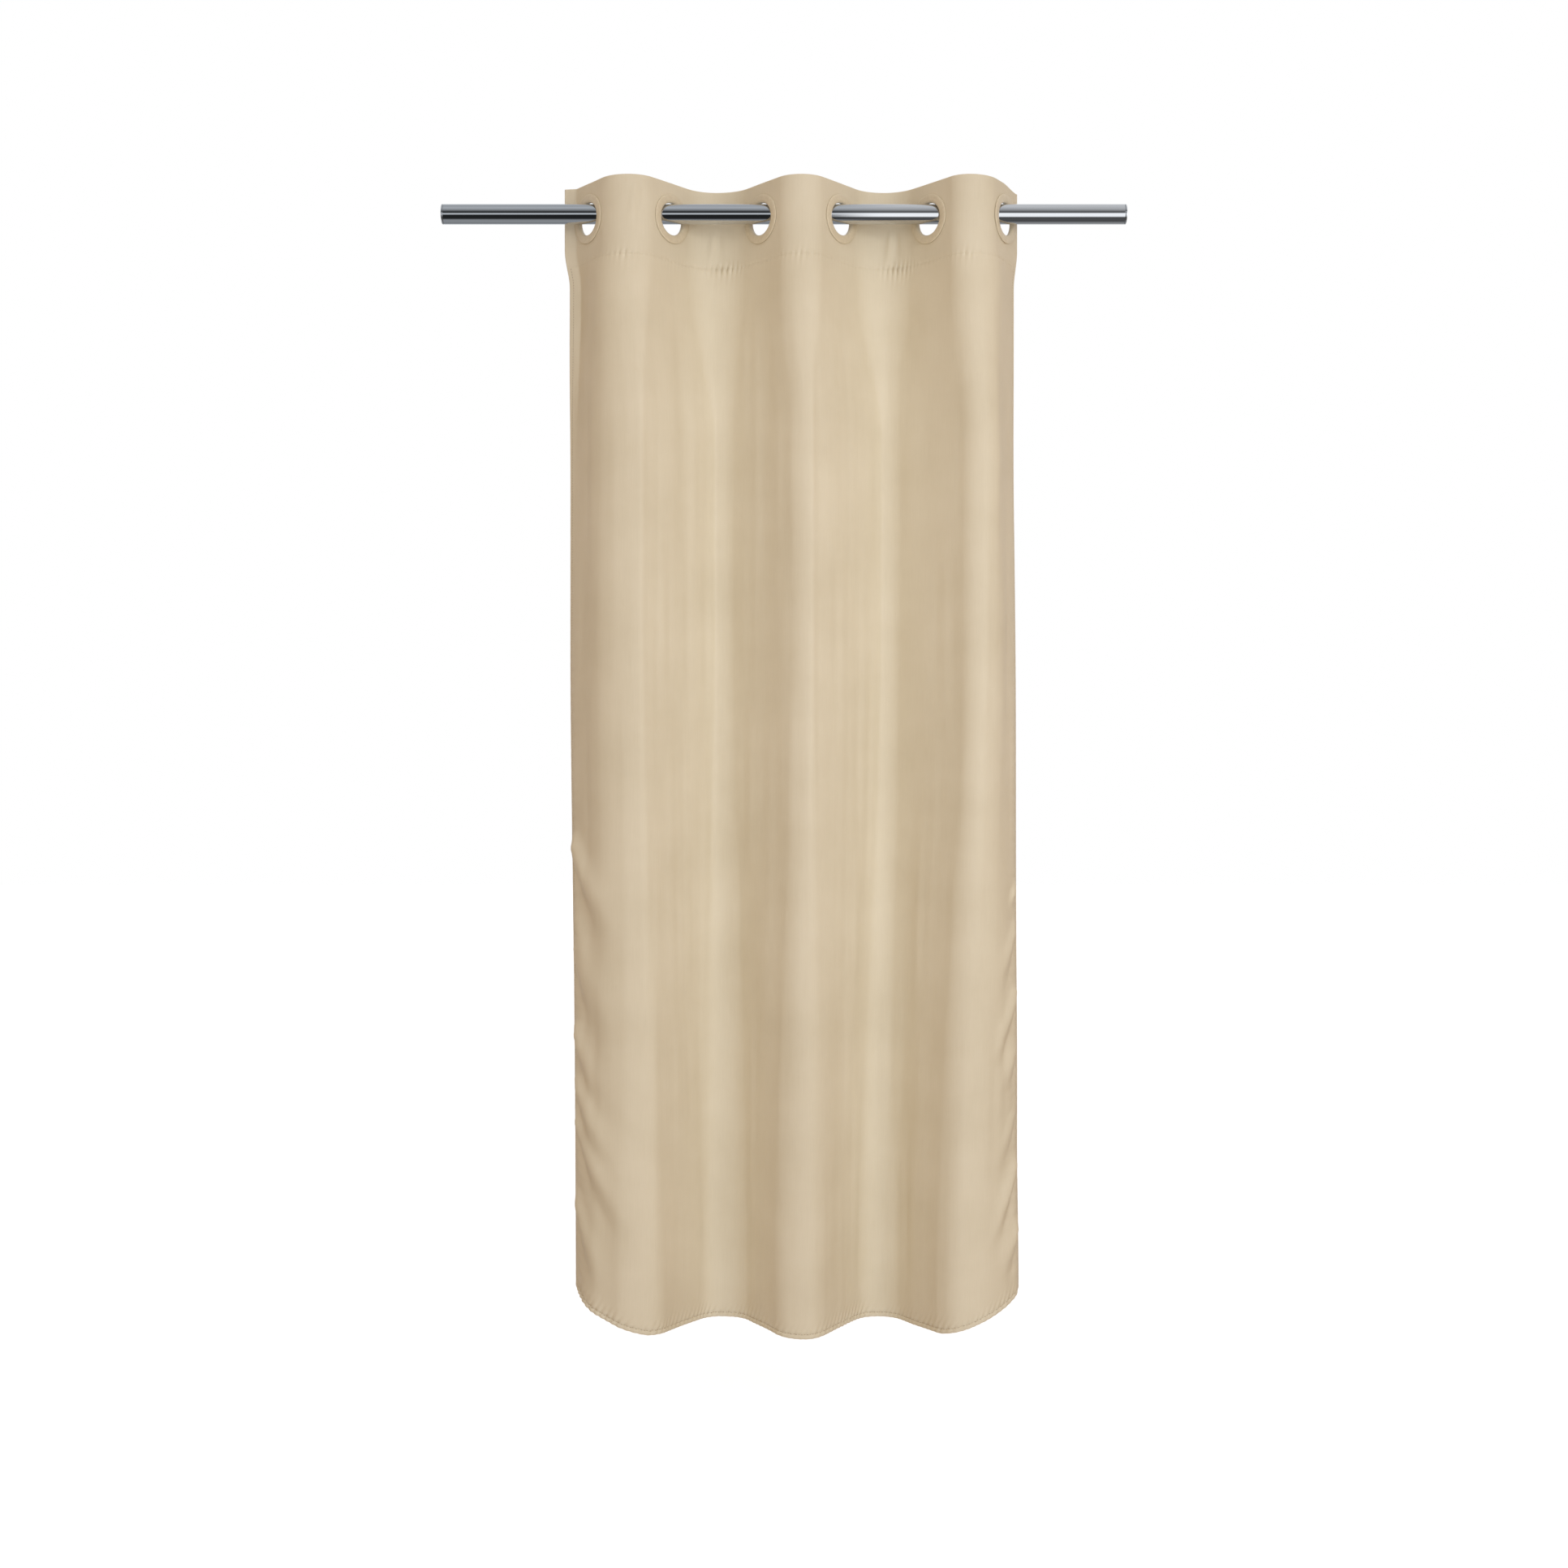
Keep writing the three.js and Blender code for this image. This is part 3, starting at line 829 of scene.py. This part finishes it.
def build_threads(sheet, fabric, thread):
    """Stitches of the heading seam, the bottom hem and both side hems, piece by piece."""
    places = np.arange(STITCH_PITCH, WIDTH - STITCH_PITCH / 2, STITCH_PITCH)
    columns = np.interp(places, COLUMN_U, np.arange(len(COLUMN_U)))
    made = []
    for k, (first, last) in enumerate(zip(PIECE_LIMITS[:-1], PIECE_LIMITS[1:])):
        here = columns[(columns >= first) & (columns < last)]
        seam_v = np.full(len(here), HEADING_DEPTH)
        hem_v = np.full(len(here), DROP - HEM_STITCH)
        seam = stitches(f"thread_heading_{k}", sheet, here, seam_v, True)
        hem = stitches(f"thread_hem_{k}", sheet, here, hem_v, True)
        seam.data.materials.append(fabric)
        hem.data.materials.append(thread)
        made.append([seam, hem])
    downs = np.arange(HEADING_DEPTH + STITCH_PITCH, DROP - HEM, STITCH_PITCH)
    for k, u in ((0, HEM_STITCH), (len(made) - 1, WIDTH - HEM_STITCH)):
        column = np.interp(u, COLUMN_U, np.arange(len(COLUMN_U)))
        side = stitches(f"thread_side_{k}", sheet, np.full(len(downs), column), downs, False)
        side.data.materials.append(thread)
        made[k].append(side)
    return made


def attach_cloth(pieces, threads):
    """The margins ride on the end panels, the pieces between stay where they are built, and the CAD
    panels' cloth and stiffeners are hidden.
    """
    last = len(pieces) - 1
    for k, (piece, group) in enumerate(zip(pieces, threads)):
        flat_width = COLUMN_U[PIECE_LIMITS[k + 1]] - COLUMN_U[PIECE_LIMITS[k]]
        for part in (piece, *group):
            if k == 0:
                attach(part, "panel_1")
            elif k == last:
                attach(part, f"panel_{last}")
            else:
                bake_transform(part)
        if k in (0, last):
            flat_width += HEM
        own = k + 1 if k < last else last
        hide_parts(f"panel_{own}_cloth", f"panel_{own}_stiffener")


def build_eyelets():
    """The snap-together ring pairs: a domed front ring with its collar, and a flat back ring.
    The profiles are (radius, distance in front of the cloth's middle) in millimetres."""
    plastic = plastic_material()
    front_profile = rounded([
        (20.6, -1.7), (20.0, 0.0), (20.2, 1.6), (21.2, 2.8), (23.2, 3.4), (28.4, 3.5),
        (30.5, 3.1), (31.0, 2.6), (30.9, 1.8), (30.0, 1.6), (22.4, 1.6), (22.4, -1.7),
    ], 0.5) * MM
    back_profile = rounded([
        (20.6, -1.95), (22.8, -1.95), (22.8, -1.6), (30.6, -1.6), (31.0, -2.2), (30.0, -3.0),
        (26.5, -3.5), (22.6, -3.3), (21.2, -2.8),
    ], 0.6) * MM
    for k, x in enumerate(EYELET_X):
        turn = RING_ANGLES[k] * (-1 if k % 2 == 0 else 1)
        across = np.array([math.cos(turn), math.sin(turn), 0])
        normal = np.array([math.sin(turn), -math.cos(turn), 0])
        axis_frame = (across, np.array([0, 0, 1.0]), normal)
        centre = np.array([x, 0, EYELET_Z])
        for side, profile in (("front", front_profile), ("back", back_profile)):
            ring = lathe(f"ring_{side}_{k + 1}", profile, RING_SIDES, axis_frame, centre)
            ring.data.materials.append(plastic)
            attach(ring, f"panel_{k + 1}")
            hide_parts(f"eyelet_{k + 1}_{side}_ring")


def build_rod():
    """The rod's tube and its two push-in end caps, finely turned."""
    low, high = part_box("rod_tube")
    radius = (high.z - low.z) / 2
    bore = radius - TUBE_WALL
    plug = bore - PLUG_GAP
    ahead, up, along = np.eye(3)[[1, 2, 0]]
    outline = rounded([(bore, low.x), (bore, high.x), (radius, high.x), (radius, low.x)],
                      TUBE_ROUNDING)
    tube = lathe("tube", outline, TUBE_SIDES, (ahead, up, along), np.zeros(3))
    tube.data.materials.append(steel_material("drawn_steel", 0.045, (6, 1500, 1500)))
    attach(tube, "rod")
    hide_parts("rod_tube")
    cap_steel = steel_material("cap_steel", 0.2, (300, 300, 300))
    for side, name in ((-1, "end_cap_left"), (1, "end_cap_right")):
        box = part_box(name)
        outer = max(abs(box[0].x), abs(box[1].x))
        inner = min(abs(box[0].x), abs(box[1].x))
        shoulder = outer - CAP_THICKNESS
        outline = rounded([
            (CAP_CENTRE, inner), (plug, inner), (plug, shoulder), (radius, shoulder),
            (radius, outer), (CAP_CENTRE, outer),
        ], CAP_ROUNDING)
        near_axis = outline[:, 0] < CAP_NEAR_AXIS
        outline[:, 0] = np.where(near_axis, CAP_PINHOLE, outline[:, 0])
        cap = lathe(f"cap_{'left' if side < 0 else 'right'}", outline, CAP_SIDES,
                    (ahead, up * -side, along * side), np.zeros(3))
        cap.data.materials.append(cap_steel)
        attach(cap, "rod")
        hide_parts(name)


# ---------------------------------------------------------------- the studio


def build_floor():
    """A plain pale floor that glows evenly, and neither lights nor is mirrored in the object."""
    size, level = FLOOR_HALF_SIZE, BOTTOM - FLOOR_DROP
    corners = [(-size, -size, level), (size, -size, level), (size, size, level), (-size, size, level)]
    floor = new_object("floor", corners, [(0, 1, 2, 3)])
    made, *_, shader = material("pale_floor")
    set_inputs(shader, Roughness=0.9)
    shader.inputs["Base Color"].default_value = (FLOOR_GREY, FLOOR_GREY, FLOOR_GREY, 1)
    shader.inputs["Emission Color"].default_value = (1, 1, 1, 1)
    shader.inputs["Emission Strength"].default_value = FLOOR_GLOW
    floor.data.materials.append(made)
    floor.visible_glossy = False
    floor.visible_diffuse = False


def area_light(name, place, aim, size, power, color):
    """A rectangular light that the camera doesn't see, turned towards a point."""
    data = bpy.data.lights.new(name, "AREA")
    data.shape = "RECTANGLE"
    data.size, data.size_y = size
    data.energy = power
    data.color = color
    light = bpy.data.objects.new(name, data)
    light.location = place
    direction = np.array(aim) - np.array(place)
    light.rotation_euler = Vector(direction).to_track_quat("-Z", "Y").to_euler()
    light.visible_camera = False
    bpy.context.scene.collection.objects.link(light)
    return light


def build_world():
    """A white room to the eye. What the steel reflects runs from a pale ceiling through dark
    bands and a thin bright line in front to a grey floor, with a light strip at the right.
    What lights the cloth is white in front and warm and dim from both sides, like flags."""
    world = bpy.data.worlds.new("studio")
    bpy.context.scene.world = world
    world.use_nodes = True
    nodes, links = world.node_tree.nodes, world.node_tree.links
    background = nodes["Background"]
    place = node(nodes, "ShaderNodeTexCoord")
    split = node(nodes, "ShaderNodeSeparateXYZ")
    links.new(place.outputs["Generated"], split.inputs[0])
    front = node(nodes, "ShaderNodeMath", operation="MULTIPLY")
    front.inputs[1].default_value = -1
    links.new(split.outputs["Y"], front.inputs[0])
    angle = node(nodes, "ShaderNodeMath", operation="ARCTAN2")
    links.new(split.outputs["Z"], angle.inputs[0])
    links.new(front.outputs[0], angle.inputs[1])
    share = node(nodes, "ShaderNodeMapRange")
    set_inputs(share, From_Min=-math.pi, From_Max=math.pi)
    links.new(angle.outputs[0], share.inputs["Value"])
    left = color_ramp(nodes, world_stops(strip=False))
    right = color_ramp(nodes, world_stops(strip=True))
    links.new(share.outputs["Result"], left.inputs["Fac"])
    links.new(share.outputs["Result"], right.inputs["Fac"])
    side = node(nodes, "ShaderNodeMapRange", interpolation_type="SMOOTHSTEP")
    set_inputs(side, From_Min=STRIP_RANGE[0], From_Max=STRIP_RANGE[1])
    links.new(split.outputs["X"], side.inputs["Value"])
    room = node(nodes, "ShaderNodeMix", data_type="RGBA")
    links.new(side.outputs["Result"], room.inputs["Factor"])
    links.new(left.outputs["Color"], room.inputs["A"])
    links.new(right.outputs["Color"], room.inputs["B"])
    path = node(nodes, "ShaderNodeLightPath")
    lit = node(nodes, "ShaderNodeMix", data_type="RGBA")
    sideways = node(nodes, "ShaderNodeMath", operation="ABSOLUTE")
    links.new(split.outputs["X"], sideways.inputs[0])
    flag = node(nodes, "ShaderNodeMapRange", interpolation_type="SMOOTHSTEP")
    set_inputs(flag, From_Min=FLAG_RANGE[0], From_Max=FLAG_RANGE[1])
    links.new(sideways.outputs[0], flag.inputs["Value"])
    ambient = node(nodes, "ShaderNodeMix", data_type="RGBA")
    ambient.inputs["A"].default_value = (*AMBIENT, 1)
    ambient.inputs["B"].default_value = (*FLAG, 1)
    links.new(flag.outputs["Result"], ambient.inputs["Factor"])
    links.new(ambient.outputs["Result"], lit.inputs["A"])
    links.new(path.outputs["Is Glossy Ray"], lit.inputs["Factor"])
    links.new(room.outputs["Result"], lit.inputs["B"])
    seen = node(nodes, "ShaderNodeMix", data_type="RGBA")
    seen.inputs["B"].default_value = (1, 1, 1, 1)
    links.new(path.outputs["Is Camera Ray"], seen.inputs["Factor"])
    links.new(lit.outputs["Result"], seen.inputs["A"])
    links.new(seen.outputs["Result"], background.inputs["Color"])
    background.inputs["Strength"].default_value = 1.0


def world_stops(strip):
    """Grey levels round the rod by angle: 0 is behind and level, 0.25 straight down, 0.5 the
    front horizon, and 0.75 straight up. Cool is how far they lean to blue."""
    if strip:
        cool = 0.02
        stops = [(0.0, 0.6), (0.145, 0.35), (0.225, 0.10), (0.29, 0.11), (0.36, 0.10),
                 (0.38, 0.9), (0.395, 1.4), (0.475, 1.5), (0.495, 0.9), (0.515, 0.12), (0.55, 0.18),
                 (0.60, 0.45), (0.685, 0.75), (0.764, 0.8), (1.0, 0.9)]
    else:
        cool = 0.05
        stops = [(0.0, 0.6), (0.145, 0.30), (0.225, 0.42), (0.285, 0.28), (0.315, 0.03),
                 (0.41, 0.02), (0.445, 0.06), (0.46, 0.8), (0.486, 0.8), (0.504, 0.06),
                 (0.545, 0.05), (0.58, 0.22), (0.62, 0.45), (0.685, 0.65), (0.764, 0.5), (1.0, 0.9)]
    return [(position, (grey * (1 - cool), grey, grey * (1 + cool))) for position, grey in stops]


def build_camera():
    """Straight on, a little below the middle of the curtain's height."""
    data = bpy.data.cameras.new("camera")
    data.sensor_width = CAMERA_SENSOR
    data.lens = CAMERA_LENS
    camera = bpy.data.objects.new("camera", data)
    camera.location = (0, -CAMERA_DISTANCE, CAMERA_HEIGHT)
    camera.rotation_euler = (math.pi / 2, 0, 0)
    bpy.context.scene.collection.objects.link(camera)
    bpy.context.scene.camera = camera


def build_lights():
    """A key light from the right and a warm fill light from the upper left."""
    key = area_light("key", place=(1.6, -1.8, 0.0), aim=(-0.1, 0, -0.7), size=(0.8, 1.0),
                     power=4.6, color=(0.97, 1.0, 1.04))
    key.data.spread = math.radians(100)
    fill = area_light("fill", place=(-0.9, -2.3, 0.5), aim=(-0.1, 0, -0.1), size=(1.0, 1.0),
                      power=4.0, color=(1.0, 0.96, 0.86))
    fill.visible_glossy = False


build_camera()
build_world()
build_lights()
build_floor()
build_rod()
build_eyelets()
build_cloth()
bpy.context.scene.view_settings.view_transform = "Standard"
